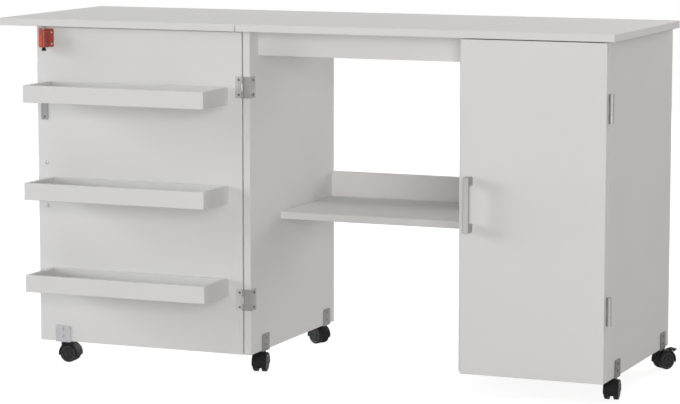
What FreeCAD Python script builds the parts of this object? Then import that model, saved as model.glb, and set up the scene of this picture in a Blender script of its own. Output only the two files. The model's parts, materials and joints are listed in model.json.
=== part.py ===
import FreeCAD, Part
import os
import re
import Sketcher
from FreeCAD import Rotation, Vector

# Folding sewing cutting table: a carcass with a kneehole and a cupboard, a gate leg that
# swings out on its own caster to hold up a hinged leaf, and storage trays on the gate.
# +X runs along the table to the cupboard, +Y from front to back, +Z up from the floor.
# The layout is drawn with x = 0 at the left panel's outer face and y = 0 at the front
# edges of the upright panels; origin_x and origin_y then move it over its own middle.

# Driving dimensions in millimetres, and in degrees where the comment says so.
SIZES = {
    # Boards and carcass
    "board": 16,                  # thickness of every laminated board
    "edge_break": 0.8,            # arris taken off each board
    "panel_height": 700,          # upright panels, from bottom edge to the top's underside
    "kneehole_width": 476,        # clear width between left panel and partition
    "cabinet_width": 290,         # clear width inside the cupboard
    "carcass_depth": 466,         # depth of the upright panels
    "top_over_left": 9,           # fixed top past the left panel
    "top_over_right": 15,         # fixed top past the right panel
    "leaf_length": 570,
    "leaf_seam": 2,               # gap between the leaf and the fixed top
    "apron_height": 54,
    "apron_setback": 42,
    "shelf_setback": 160,         # kneehole shelf, from the front edges
    "shelf_level": 294,           # top of the kneehole shelf above the panels' bottom edges
    "upstand_height": 57,
    "inner_shelf_level": 340,     # underside of the cupboard shelf above the bottom edges
    "inner_shelf_setback": 24,
    "inner_shelf_play": 1,        # gap round the loose shelf
    "back_sheet": 3,              # cupboard back
    "groove_depth": 6,            # groove that holds the back
    "groove_play": 0.1,
    "pin_radius": 2.5,            # shelf pins
    "pin_length": 18,
    "pin_sunk": 9,                # length of a pin inside its hole
    "pin_inset": 60,              # pins from the front and back of the cupboard
    "pin_play": 0.05,
    "pin_collar": 1,              # width and thickness of the collar
    # Gate and door
    "overlay_gap": 3.4,           # closed door or gate to the panels' front edges
    "gate_gap": 3,                # open gate to the left panel
    "closed_gap": 7,              # closed gate to the door
    "door_cover": 6,              # door over the partition's front edge
    "swing_gap": 2,               # top of gate or door to the top's underside
    # Hinges
    "hinge_sheet": 1.2,
    "knuckle_gap": 0.3,           # between a knuckle and the other leaf
    "door_knuckle_gap": 0.2,      # between a door knuckle and the right panel
    "hinge_play": 0.05,           # radial play of a pin in its knuckle
    "gate_knuckle": 2.05,         # knuckle radii
    "door_knuckle": 5,
    "leaf_knuckle": 2.2,
    "gate_pin": 1,                # pin radii
    "door_pin": 2,
    "leaf_pin": 1.1,
    "gate_hinge_height": 46,
    "gate_hinge_inset": 120,      # hinge middle from the top and from the bottom edge
    "gate_hinge_leaf": 16,        # width of the plate on the gate
    "gate_hinge_wrap": 26,        # plate folded back along the left panel's inner face
    "door_hinge_height": 60,
    "door_hinge_drop": 136,       # upper hinge middle below the panel top
    "door_hinge_rise": 148,       # lower hinge middle above the panel bottom
    "door_hinge_leaf": 13,
    "leaf_hinge_length": 60,
    "leaf_hinge_inset": 70,       # outer leaf hinges from the front and back edges
    "leaf_pin_drop": 3,           # leaf hinge pin below the top's underside
    "leaf_hinge_fixed": 32,       # plate screwed down the left panel
    "leaf_hinge_moving": 35,      # plate under the leaf, from the pin
    # Bar handles
    "handle_length": 116,
    "handle_width": 12.5,
    "handle_reach": 27,
    "handle_bar": 8.5,
    "handle_leg": 18,
    "handle_round": 3,
    "handle_soft": 0.8,
    "handle_inset": 20,           # handle middle from the free edge of gate or door
    "gate_handle_level": 350,     # handle middles above the bottom edges
    "door_handle_level": 357,
    # Magnetic catches
    "catch_width": 15,
    "catch_depth": 14,
    "catch_height": 47,
    "catch_level": 493,           # underside of the catches above the bottom edges
    "catch_pole": 3,              # steel pole plates in the catch's face
    "catch_round": 1.5,
    "catch_gap": 0.4,             # closed strike plate to the catch
    "strike_width": 17,
    "strike_inset": 9,            # strike plate from the free edge
    "strike_sheet": 1,
    "strike_round": 2.2,
    # Gate latch
    "latch_inset": 24,            # bolt axis from the gate's free edge
    "latch_drop": 6,              # housing below the underside of the leaf and the top
    "latch_flange": 37,
    "latch_flange_sheet": 2.5,
    "latch_height": 40,
    "latch_width": 15,
    "latch_depth": 24,
    "latch_round": 4,
    "bolt_radius": 3,
    "bolt_play": 0.08,
    "bolt_travel": 10,
    "bolt_tip": 4,                # bolt standing out of the housing when drawn back
    "bolt_hole_play": 1.35,       # round the bolt in the leaf and in the top
    "bolt_hole_depth": 11,
    "stud_radius": 1.6,           # bolt's lower end, inside the knob
    "stud_length": 5,
    "knob_neck": 2.6,             # knob radii under the housing and at its foot
    "knob_foot": 5.2,
    "knob_height": 8,
    "knob_brim": 1.2,             # upright edge round the knob's foot
    "knob_play": 0.5,
    "thumb_width": 9,
    "thumb_height": 23,
    "thumb_sheet": 3,
    "thumb_rise": 4,              # thumb piece above the housing's underside
    "thumb_round": 1,
    "thumb_neck": 5,              # neck that joins it to the bolt through the slot
    "thumb_neck_height": 8,
    "thumb_neck_rise": 8,
    "thumb_play": 0.2,
    # Trays on the gate
    "tray_sheet": 10,
    "tray_depth": 125,
    "tray_height": 37,
    "tray_inset": 32.5,           # trays from the gate's two side edges
    "tray_floor": 4,
    "tray_floor_rise": 3,
    "tray_high": 579,             # rims above the gate's bottom edge
    "tray_middle": 367,
    "tray_low": 165,
    # Casters
    "caster_height": 44,          # floor to the bracket
    "caster_trail": 14,
    "caster_front": 77,           # swivel axes from the front edges
    "caster_back": 46,            # and from the back edges
    "gate_caster_inset": 56,      # swivel axis from the gate's free edge
    "wheel_radius": 20,
    "wheel_width": 11,
    "wheel_space": 10,            # between the two wheels of a caster
    "wheel_gap": 0.6,             # wheel to hood
    "web_gap": 0.3,               # wheel to the web between the wheels
    "web_radius": 18,
    "web_rise": 9,                # floor to the lower edge of the web
    "wheel_bevel": 2,             # round a wheel's outer edge
    "wheel_dome": 0.8,            # rise of the outer face towards its middle
    "wheel_boss": 6,              # radius of the flat middle of the outer face
    "axle_radius": 2.5,
    "axle_play": 0.05,
    "axle_cover": 2.8,            # wheel over each end of the axle
    "hood_wall": 2,
    "hood_bevel": 1,
    "hood_rise": 15,              # floor to the hood's lower edges
    "boss_radius": 8,
    "boss_rise": 28,              # floor to the underside of the boss on the hood
    "swivel_gap": 0.3,
    "stem_radius": 4,
    "stem_length": 32,            # stem above the bracket
    "stem_play": 0.05,
    "socket_play": 0.3,
    "socket_depth": 4,            # socket past the end of the stem
    "bracket_sheet": 2,
    "bracket_length": 36,
    "bracket_height": 36,
    "bracket_round": 4,
    "bracket_clear": 2,           # brackets to the cupboard floor above them
    # Brake of the right back caster
    "brake_reach": 24.5,          # pedal pin from the wheels' axis
    "brake_angle": 50,            # degrees above the level, behind the wheels
    "lug_spread": 7,              # degrees that the web's arm takes each side of the pedal pin
    "brake_pin": 1.5,
    "brake_hub": 3.2,
    "brake_shoe": 4.3,            # pedal pin to the tip of the shoe
    "brake_turn": 25,             # degrees of pedal travel
    "brake_width": 22,
    "pedal_length": 11.5,
    "pedal_slope": 20,            # degrees of the raised pedal above the level
    "pedal_window": 0.6,          # hood clear of the pedal's ears, to each side
    # Which way each caster trails, in degrees from +X towards +Y
    "left_front_heading": -79,
    "left_back_heading": 155.7,
    "right_front_heading": -82,
    "right_back_heading": 53,
    "gate_heading": 3,
    # Middle of the footprint, measured once the pieces are built
    "origin_x": 0,
    "origin_y": 0,
}

# Lines of the layout, as formulas of the sizes
FLOOR_GAP = "(caster_height + bracket_sheet)"
UNDERSIDE = f"({FLOOR_GAP} + panel_height)"
HANGING_TOP = f"({UNDERSIDE} - swing_gap)"
PARTITION = "(board + kneehole_width)"
CABINET = f"({PARTITION} + board)"
RIGHT_PANEL = f"({CABINET} + cabinet_width)"
WIDTH = f"({RIGHT_PANEL} + board)"
FACE = "(-overlay_gap - board)"
BACK_SHEET = "(carcass_depth - board)"
DOOR_EDGE = f"({CABINET} - door_cover)"
GATE_WIDTH = f"({DOOR_EDGE} - closed_gap)"
GATE_EDGE = f"(-gate_gap - {GATE_WIDTH})"
LEAF_END = "(-top_over_left - leaf_seam)"
HOOD_RADIUS = "(wheel_radius + wheel_gap + hood_wall)"
CASTER_WIDTH = "(2 * wheel_width + wheel_space)"
WEB_WIDTH = "(wheel_space - 2 * web_gap)"

doc = FreeCAD.newDocument("folding_sewing_table")
sheet = doc.addObject("Spreadsheet::Sheet", "Sheet")
for row, (name, size) in enumerate(SIZES.items(), start=1):
    sheet.set(f"A{row}", name)
    sheet.set(f"B{row}", str(size))
    sheet.setAlias(f"B{row}", name)
doc.recompute()

pieces = []


def formula(text):
    """Point the names of sizes in a formula at their cells."""
    return re.sub(r"[a-z]\w*", lambda word: "Sheet." + word[0] if word[0] in SIZES else word[0], str(text))


def value(text):
    """Work a formula out as a plain number."""
    return float(sheet.evalExpression(str(text)))


def bind(item, prop, text):
    item.setExpression(prop, formula(text))


def keep(item):
    """Count an object as one of the table's sub-parts."""
    pieces.append(item)
    return item


def place(item, x, y, z, heading=None, rotation=None):
    """Seat a piece at x, y, z of the layout."""
    if rotation is not None:
        item.Placement = FreeCAD.Placement(Vector(), rotation)
    bind(item, "Placement.Base.x", f"{x} - origin_x")
    bind(item, "Placement.Base.y", f"{y} - origin_y")
    bind(item, "Placement.Base.z", z)
    if heading is not None:
        item.Placement = FreeCAD.Placement(Vector(), Rotation(Vector(0, 0, 1), 1))
        bind(item, "Placement.Rotation.Angle", f"({heading}) * 1 deg")
    return item


def body(label, x="0", y="0", z="0", heading=None, rotation=None):
    part = doc.addObject("PartDesign::Body", label)
    part.Label = label
    return place(part, x, y, z, heading, rotation)


def rectangle(x0, x1, y0, y1):
    return [(x0, y0), (x1, y0), (x1, y1), (x0, y1)]


def circle(x, y, radius):
    return {"x": x, "y": y, "radius": radius}


def draw_polygon(sketch, corners):
    """Close a loop of lines and tie each corner to its two formulas."""
    spots = [Vector(value(x), value(y), 0) for x, y in corners]
    first = sketch.GeometryCount
    count = len(corners)
    for number in range(count):
        sketch.addGeometry(Part.LineSegment(spots[number], spots[(number + 1) % count]), False)
    for number in range(count):
        following = first + (number + 1) % count
        sketch.addConstraint(Sketcher.Constraint("Coincident", first + number, 2, following, 1))
    for number, corner in enumerate(corners):
        for kind, text, spot in zip(("DistanceX", "DistanceY"), corner, spots[number]):
            tie(sketch, Sketcher.Constraint(kind, -1, 1, first + number, 1, spot), text)


def draw_circle(sketch, ring):
    centre = Vector(value(ring["x"]), value(ring["y"]), 0)
    radius = value(ring["radius"])
    line = sketch.addGeometry(Part.Circle(centre, Vector(0, 0, 1), radius), False)
    tie(sketch, Sketcher.Constraint("DistanceX", -1, 1, line, 3, centre.x), ring["x"])
    tie(sketch, Sketcher.Constraint("DistanceY", -1, 1, line, 3, centre.y), ring["y"])
    tie(sketch, Sketcher.Constraint("Radius", line, radius), ring["radius"])


def tie(sketch, constraint, text):
    number = sketch.addConstraint(constraint)
    sketch.setExpression(f"Constraints[{number}]", formula(text))


def outline(part, plane, loops, offset="0"):
    """Sketch loops on one of the piece's own planes, moved along its normal by an offset."""
    sketch = part.newObject("Sketcher::SketchObject", "Outline")
    support = next(item for item in part.Origin.OriginFeatures if item.Role == plane)
    sketch.AttachmentSupport = (support, [""])
    sketch.MapMode = "FlatFace"
    bind(sketch, "AttachmentOffset.Base.z", offset)
    for loop in loops:
        if isinstance(loop, dict):
            draw_circle(sketch, loop)
        else:
            draw_polygon(sketch, loop)
    return sketch


def pad(part, plane, loops, length, offset="0", symmetric=False, reverse=False):
    return extrude("PartDesign::Pad", part, plane, loops, length, offset, symmetric, reverse)


def pocket(part, plane, loops, length, offset="0", symmetric=False, reverse=False):
    """Cut loops into the piece: away from the plane's normal, or along it if reversed."""
    return extrude("PartDesign::Pocket", part, plane, loops, length, offset, symmetric, reverse)


def extrude(kind, part, plane, loops, length, offset, symmetric, reverse):
    feature = part.newObject(kind, kind.split("::")[1])
    feature.Profile = outline(part, plane, loops, offset)
    feature.Length = value(length)
    bind(feature, "Length", length)
    if symmetric:
        feature.SideType = "Symmetric"
    feature.Reversed = reverse
    part.Tip = feature
    return feature


def revolve(part, plane, loops):
    """Turn loops a full circle about the vertical axis of their sketch."""
    feature = part.newObject("PartDesign::Revolution", "Revolution")
    feature.Profile = outline(part, plane, loops)
    feature.ReferenceAxis = (feature.Profile[0], ["V_Axis"])
    feature.Angle = 360
    part.Tip = feature
    return feature


def dress(kind, part, size, chosen):
    """Round or chamfer those edges of a piece that a test picks out."""
    doc.recompute()
    base = part.Tip
    names = [f"Edge{number}" for number, edge in enumerate(base.Shape.Edges, start=1) if chosen(edge)]
    feature = part.newObject(kind, kind.split("::")[1])
    feature.Base = (base, names)
    prop = "Size" if kind.endswith("Chamfer") else "Radius"
    setattr(feature, prop, value(size))
    bind(feature, prop, size)
    part.Tip = feature
    return feature


def along(axis):
    """Test for straight edges that run along an axis."""
    def chosen(edge):
        if edge.Curve.TypeId != "Part::GeomLine":
            return False
        ends = edge.Vertexes[-1].Point - edge.Vertexes[0].Point
        return abs(abs(ends.dot(axis)) - ends.Length) < 1e-6
    return chosen


def whole(edge):
    return True


def group(label, members):
    """Join separate solids of one kind under one name."""
    item = doc.addObject("Part::Compound", label)
    item.Label = label
    item.Links = members
    return keep(item)


def board(label, x0, x1, y0, y1, z0, z1):
    """A board between two planes along each axis, with its arrises taken off."""
    part = body(label)
    pad(part, "XY_Plane", [rectangle(x0, x1, y0, y1)], f"{z1} - ({z0})", offset=z0)
    dress("PartDesign::Chamfer", part, "edge_break", whole)
    return part


def drill_up(part, x, y, z, radius, depth):
    pocket(part, "XY_Plane", [circle(x, y, radius)], depth, offset=z, reverse=True)


# Carcass

CASTER_BACK = "(carcass_depth - caster_back)"


def stem_socket(part, x, y):
    """Blind hole for a caster's stem, in the bottom edge of an upright board."""
    drill_up(part, x, y, FLOOR_GAP, "stem_radius + socket_play", "stem_length + socket_depth")


def shelf_pin_spots():
    level = f"({FLOOR_GAP} + inner_shelf_level - pin_radius)"
    return [("pin_inset", level), (f"{BACK_SHEET} - pin_inset", level)]


def cupboard_side(part, face, depth, inward):
    """Pin holes and the groove for the back, in a panel's face towards the cupboard."""
    holes = [circle(y, z, "pin_radius + pin_play") for y, z in shelf_pin_spots()]
    pocket(part, "YZ_Plane", holes, "pin_sunk + pin_play", offset=face, reverse=inward)
    ends = (face, depth) if inward else (depth, face)
    groove = rectangle(*ends, f"{BACK_SHEET} - groove_play", f"{BACK_SHEET} + back_sheet + groove_play")
    pocket(part, "XY_Plane", [groove], "panel_height", offset=FLOOR_GAP, reverse=True)


def upright(label, x):
    return keep(board(label, x, f"{x} + board", "0", "carcass_depth", FLOOR_GAP, UNDERSIDE))


left_side_panel = upright("left_side_panel", "0")
partition_panel = upright("partition_panel", PARTITION)
right_side_panel = upright("right_side_panel", RIGHT_PANEL)
for panel, middle in ((left_side_panel, "board / 2"), (right_side_panel, f"{RIGHT_PANEL} + board / 2")):
    stem_socket(panel, middle, "caster_front")
    stem_socket(panel, middle, CASTER_BACK)
cupboard_side(partition_panel, CABINET, f"{CABINET} - groove_depth", inward=False)
cupboard_side(right_side_panel, RIGHT_PANEL, f"{RIGHT_PANEL} + groove_depth", inward=True)

BOLT_HOLE = "bolt_radius + bolt_hole_play"
main_top = keep(board("main_top", "-top_over_left", f"{WIDTH} + top_over_right",
                      FACE, "carcass_depth", UNDERSIDE, f"{UNDERSIDE} + board"))
drill_up(main_top, f"{GATE_WIDTH} - latch_inset", "latch_depth / 2 - overlay_gap",
         UNDERSIDE, BOLT_HOLE, "bolt_hole_depth")
leaf_top = keep(board("leaf_top", f"{LEAF_END} - leaf_length", LEAF_END,
                      FACE, "carcass_depth", UNDERSIDE, f"{UNDERSIDE} + board"))
drill_up(leaf_top, f"{GATE_EDGE} + latch_inset", "-latch_depth / 2",
         UNDERSIDE, BOLT_HOLE, "bolt_hole_depth")

SHELF_TOP = f"({FLOOR_GAP} + shelf_level)"
keep(board("apron", "board", PARTITION, "apron_setback", "apron_setback + board",
           f"{UNDERSIDE} - apron_height", UNDERSIDE))
keep(board("kneehole_shelf", "board", PARTITION, "shelf_setback", "carcass_depth",
           f"{SHELF_TOP} - board", SHELF_TOP))
keep(board("shelf_upstand", "board", PARTITION, "carcass_depth - board", "carcass_depth",
           SHELF_TOP, f"{SHELF_TOP} + upstand_height"))
CABINET_FLOOR = f"({FLOOR_GAP} + bracket_height + bracket_clear)"
keep(board("cabinet_floor", CABINET, RIGHT_PANEL, "0", BACK_SHEET,
           CABINET_FLOOR, f"{CABINET_FLOOR} + board"))
INNER_SHELF = f"({FLOOR_GAP} + inner_shelf_level)"
keep(board("cabinet_shelf", f"{CABINET} + inner_shelf_play", f"{RIGHT_PANEL} - inner_shelf_play",
           "inner_shelf_setback", f"{BACK_SHEET} - inner_shelf_play",
           INNER_SHELF, f"{INNER_SHELF} + board"))

cabinet_back = keep(body("cabinet_back"))
pad(cabinet_back, "XY_Plane",
    [rectangle(f"{CABINET} - groove_depth + groove_play", f"{RIGHT_PANEL} + groove_depth - groove_play",
               BACK_SHEET, f"{BACK_SHEET} + back_sheet")],
    "panel_height", offset=FLOOR_GAP)


def shelf_pin(label, face, heading, y, z):
    """A plain pin with a collar, pointing into the cupboard from a panel's face."""
    part = body(label, face, y, z, heading=heading)
    pad(part, "YZ_Plane", [circle("0", "0", "pin_radius")], "pin_length", offset="-pin_sunk")
    pad(part, "YZ_Plane", [circle("0", "0", "pin_radius + pin_collar")], "pin_collar")
    return part


pins = []
for side, face, heading in (("left", CABINET, "0"), ("right", RIGHT_PANEL, "180")):
    for place_name, (y, z) in zip(("front", "back"), shelf_pin_spots()):
        pins.append(shelf_pin(f"shelf_pin_{side}_{place_name}", face, heading, y, z))
group("shelf_pins", pins)


# Hinges. Each is drawn with its pin along its own Z axis and its middle at z = 0.

def thirds(height):
    """The lower, middle and upper knuckle, as pairs of heights with a gap between them."""
    return [(f"-{height} / 2", f"-{height} / 6 - knuckle_gap / 2"),
            (f"-{height} / 6 + knuckle_gap / 2", f"{height} / 6 - knuckle_gap / 2"),
            (f"{height} / 6 + knuckle_gap / 2", f"{height} / 2")]


def hinge_leaf(label, plates, knuckle, pin, height, own, spot, rotation=None):
    """A leaf cut from plates that reach the pin, rolled round it at its own knuckles."""
    part = body(label, *spot, rotation=rotation)
    for plate in plates:
        pad(part, "XY_Plane", [plate], height, symmetric=True)
    pad(part, "XY_Plane", [circle("0", "0", knuckle)], height, symmetric=True)
    reach = f"({knuckle} + knuckle_gap)"
    lower, middle, upper = thirds(height)
    if own == "outer":
        notches = [(lower[1], upper[0])]
    else:
        notches = [(f"{lower[0]} - 1", middle[0]), (middle[1], f"{upper[1]} + 1")]
    loops = [rectangle(f"-{reach}", reach, low, high) for low, high in notches]
    pocket(part, "XZ_Plane", loops, f"2 * {reach}", symmetric=True)
    pocket(part, "XY_Plane", [circle("0", "0", f"{pin} + hinge_play")], f"{height} + 2", symmetric=True)
    return part


def hinge_pin(label, pin, height, spot, rotation=None):
    part = body(label, *spot, rotation=rotation)
    pad(part, "XY_Plane", [circle("0", "0", pin)], height, symmetric=True)
    dress("PartDesign::Chamfer", part, f"{pin} / 4", lambda edge: edge.BoundBox.ZLength < 1e-6)
    return part


def hinge_set(kind, spots, knuckle, pin, height, fixed, moving, rotation=None):
    """Fixed leaves, moving leaves and pins of all hinges of one kind."""
    made = {"frame_leaves": [], "leaves": [], "pins": []}
    for number, spot in enumerate(spots, start=1):
        fixed_leaf = hinge_leaf(f"{kind}_frame_leaf_{number}", fixed, knuckle, pin, height,
                                "outer", spot, rotation)
        moving_leaf = hinge_leaf(f"{kind}_leaf_{number}", moving, knuckle, pin, height,
                                 "inner", spot, rotation)
        made["frame_leaves"].append(fixed_leaf)
        made["leaves"].append(moving_leaf)
        made["pins"].append(hinge_pin(f"{kind}_pin_{number}", pin, height, spot, rotation))
    for name, members in made.items():
        group(f"{kind}_hinge_{name}", members)


# Gate hinges: the fixed plate lies on the left panel's front edge and folds round it.
PLATE_FRONT = "(overlay_gap / 2 - hinge_sheet)"
PLATE_BACK = "(overlay_gap / 2)"
GATE_PIN_X = "(gate_gap / 2)"
gate_fixed = [rectangle("0", f"board + {GATE_PIN_X} + hinge_sheet", PLATE_FRONT, PLATE_BACK),
              rectangle(f"board + {GATE_PIN_X}", f"board + {GATE_PIN_X} + hinge_sheet",
                        PLATE_FRONT, f"{PLATE_BACK} + gate_hinge_wrap")]
gate_moving = [rectangle("-gate_hinge_leaf", "0", PLATE_FRONT, PLATE_BACK)]
gate_spots = [(f"-{GATE_PIN_X}", f"-{PLATE_BACK}", z) for z in
              (f"{UNDERSIDE} - gate_hinge_inset", f"{FLOOR_GAP} + gate_hinge_inset")]
hinge_set("gate", gate_spots, "gate_knuckle", "gate_pin", "gate_hinge_height", gate_fixed, gate_moving)

# Door hinges: both plates lie in the gap behind the door, with the knuckles outside.
DOOR_PIN_X = "(door_knuckle + door_knuckle_gap)"
door_fixed = [rectangle(f"-{DOOR_PIN_X} - door_hinge_leaf", "0", PLATE_FRONT, PLATE_BACK)]
door_moving = [rectangle(f"-{DOOR_PIN_X} - door_hinge_leaf", "0", f"-{PLATE_BACK}", f"-{PLATE_FRONT}")]
door_spots = [(f"{WIDTH} + {DOOR_PIN_X}", f"-{PLATE_BACK}", z) for z in
              (f"{UNDERSIDE} - door_hinge_drop", f"{FLOOR_GAP} + door_hinge_rise")]
hinge_set("door", door_spots, "door_knuckle", "door_pin", "door_hinge_height", door_fixed, door_moving)

# Leaf hinges, pins along the table's depth: a plate down the left panel, and a cranked
# one that runs under the fixed top's edge and steps up to the leaf's underside.
LEAF_PIN_X = "(leaf_knuckle + knuckle_gap)"
CRANK = f"(top_over_left + leaf_seam - {LEAF_PIN_X})"
leaf_fixed = [rectangle(f"{LEAF_PIN_X} - hinge_sheet", LEAF_PIN_X, "0", "leaf_hinge_fixed"),
              rectangle("0", LEAF_PIN_X, "-hinge_sheet / 2", "hinge_sheet / 2")]
LOW_TOP = "(-hinge_sheet / 2)"
LOW_UNDER = "(hinge_sheet / 2)"
HIGH_TOP = "(-leaf_pin_drop)"
HIGH_UNDER = "(hinge_sheet - leaf_pin_drop)"
leaf_moving = [[("0", LOW_TOP), (f"-{CRANK}", LOW_TOP), (f"-{CRANK} - 2 * hinge_sheet", HIGH_TOP),
                ("-leaf_hinge_moving", HIGH_TOP), ("-leaf_hinge_moving", HIGH_UNDER),
                (f"-{CRANK} - 3 * hinge_sheet", HIGH_UNDER), (f"-{CRANK} - hinge_sheet", LOW_UNDER),
                ("0", LOW_UNDER)]]
leaf_spots = [(f"-{LEAF_PIN_X}", y, f"{UNDERSIDE} - leaf_pin_drop") for y in
              ("leaf_hinge_inset", "carcass_depth / 2", "carcass_depth - leaf_hinge_inset")]
hinge_set("leaf", leaf_spots, "leaf_knuckle", "leaf_pin", "leaf_hinge_length", leaf_fixed, leaf_moving,
          rotation=Rotation(Vector(1, 0, 0), -90))


# Gate and door

gate_panel = keep(board("gate_panel", GATE_EDGE, "-gate_gap", "0", "board", FLOOR_GAP, HANGING_TOP))
GATE_CASTER = f"({GATE_EDGE} + gate_caster_inset)"
stem_socket(gate_panel, GATE_CASTER, "board / 2")
keep(board("door_panel", DOOR_EDGE, WIDTH, FACE, "-overlay_gap", FLOOR_GAP, HANGING_TOP))


def bar_handle(label, x, y, z, heading):
    """A square bar on two legs, drawn with its middle at z = 0 and reaching towards +Y."""
    part = keep(body(label, x, y, z, heading=heading))
    end = "handle_length / 2"
    leg = "(handle_length / 2 - handle_leg)"
    inside = "(handle_reach - handle_bar)"
    side = [("0", f"-{end}"), ("handle_reach", f"-{end}"), ("handle_reach", end), ("0", end),
            ("0", leg), (inside, leg), (inside, f"-{leg}"), ("0", f"-{leg}")]
    pad(part, "YZ_Plane", [side], "handle_width", symmetric=True)
    across = along(Vector(1, 0, 0))
    raised = value(inside) - 0.01
    dress("PartDesign::Fillet", part, "handle_round",
          lambda edge: across(edge) and edge.BoundBox.YMin > raised)
    dress("PartDesign::Chamfer", part, "handle_soft",
          lambda edge: edge.BoundBox.XLength < 1e-6 and edge.BoundBox.YMax > 0.01)
    return part


bar_handle("gate_handle", f"{GATE_EDGE} + handle_inset", "board", f"{FLOOR_GAP} + gate_handle_level", "0")
bar_handle("door_handle", f"{DOOR_EDGE} + handle_inset", FACE, f"{FLOOR_GAP} + door_handle_level", "180")


# Magnetic catch on the partition's face, its two steel pole plates towards the door.
door_catch = keep(body("door_catch"))
CATCH_FRONT = "(catch_gap + strike_sheet - overlay_gap)"
CATCH_LOW = f"({FLOOR_GAP} + catch_level)"
pad(door_catch, "XY_Plane",
    [rectangle(CABINET, f"{CABINET} + catch_width",
               f"{CATCH_FRONT} + catch_pole", f"{CATCH_FRONT} + catch_depth")],
    "catch_height", offset=CATCH_LOW)
dress("PartDesign::Fillet", door_catch, "catch_round", along(Vector(1, 0, 0)))
CATCH_MIDDLE = f"({CATCH_LOW} + catch_height / 2)"
poles = [rectangle(f"{CABINET} + catch_pole", f"{CABINET} + catch_width - catch_pole",
                   f"{CATCH_MIDDLE} + {low} * catch_pole", f"{CATCH_MIDDLE} + {low + 1} * catch_pole")
         for low in (-3, 2)]
pad(door_catch, "XZ_Plane", poles, "2 * catch_pole", offset=f"-({CATCH_FRONT} + 2 * catch_pole)")


def strike_plate(label, x, y0, y1):
    part = keep(body(label))
    pad(part, "XY_Plane", [rectangle(x, f"{x} + strike_width", y0, y1)], "catch_height",
        offset=f"{FLOOR_GAP} + catch_level")
    dress("PartDesign::Fillet", part, "strike_round", along(Vector(0, 1, 0)))
    return part


strike_plate("gate_strike_plate", f"({GATE_EDGE} + strike_inset)", "-strike_sheet", "0")
strike_plate("door_strike_plate", f"({DOOR_EDGE} + strike_inset / 2)",
             "-overlay_gap", "strike_sheet - overlay_gap")


# Gate latch: a bolt that the thumb piece pushes up into the leaf or the fixed top. Its
# parts are drawn about the bolt's axis, with z = 0 at the housing's underside.

LATCH_SPOT = (f"{GATE_EDGE} + latch_inset", "-latch_depth / 2", f"({UNDERSIDE} - latch_drop - latch_height)")
GATE_SIDE = "(latch_depth / 2)"
BOLT_FIT = "bolt_radius + bolt_play"
NECK_TOP = "(thumb_neck_rise + thumb_neck_height)"

latch_housing = keep(body("latch_housing", *LATCH_SPOT))
pad(latch_housing, "XY_Plane",
    [rectangle("-latch_width / 2", "latch_width / 2", "-latch_depth / 2", GATE_SIDE)], "latch_height")
dress("PartDesign::Fillet", latch_housing, "latch_round",
      lambda edge: along(Vector(0, 0, 1))(edge) and edge.BoundBox.YMax < 0)
pad(latch_housing, "XZ_Plane",
    [rectangle("-latch_flange / 2", "latch_flange / 2", "0", "latch_height")],
    "latch_flange_sheet", offset=f"-{GATE_SIDE}")
dress("PartDesign::Fillet", latch_housing, "latch_round / 2",
      lambda edge: along(Vector(0, 1, 0))(edge) and edge.BoundBox.XLength < 1e-6
      and abs(edge.BoundBox.Center.x) > value("latch_flange / 2") - 0.01)
pocket(latch_housing, "XY_Plane", [circle("0", "0", BOLT_FIT)], "latch_height", reverse=True)
pocket(latch_housing, "XY_Plane", [circle("0", "0", "knob_foot + knob_play")], "bolt_travel + knob_play",
       reverse=True)
pocket(latch_housing, "XZ_Plane",
       [rectangle("-thumb_neck / 2 - thumb_play", "thumb_neck / 2 + thumb_play",
                  "thumb_neck_rise - thumb_play", f"{NECK_TOP} + bolt_travel + thumb_play")],
       "latch_depth / 2", reverse=True)

latch_bolt = keep(body("latch_bolt", *LATCH_SPOT))
pad(latch_bolt, "XY_Plane", [circle("0", "0", "bolt_radius")], "latch_height + bolt_tip")
dress("PartDesign::Chamfer", latch_bolt, "bolt_radius / 4", lambda edge: edge.BoundBox.ZMin > 1)
pad(latch_bolt, "XY_Plane", [circle("0", "0", "stud_radius")], "2 * stud_length", offset="-stud_length")

latch_knob = keep(body("latch_knob", *LATCH_SPOT))
STUD_FIT = "stud_radius + bolt_play"
STUD_FOOT = "-(stud_length + bolt_play)"
revolve(latch_knob, "XZ_Plane",
        [[("0", STUD_FOOT), (STUD_FIT, STUD_FOOT), (STUD_FIT, "0"), ("knob_neck", "0"),
          ("knob_foot", "knob_brim - knob_height"), ("knob_foot", "-knob_height"), ("0", "-knob_height")]])

latch_thumb = keep(body("latch_thumb", *LATCH_SPOT))
pad(latch_thumb, "XZ_Plane",
    [rectangle("-thumb_neck / 2", "thumb_neck / 2", "thumb_neck_rise", NECK_TOP)],
    f"latch_depth / 2 + thumb_play - ({BOLT_FIT})", offset=BOLT_FIT)
pad(latch_thumb, "XZ_Plane",
    [rectangle("-thumb_width / 2", "thumb_width / 2", "thumb_rise", "thumb_rise + thumb_height")],
    "thumb_sheet", offset="latch_depth / 2 + thumb_play")
dress("PartDesign::Chamfer", latch_thumb, "thumb_round",
      lambda edge: edge.BoundBox.YMax < value("-latch_depth / 2 - thumb_play - thumb_sheet") + 0.01)


# Trays: each is a front, a back, two ends between them and a thin floor let in between.

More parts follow.
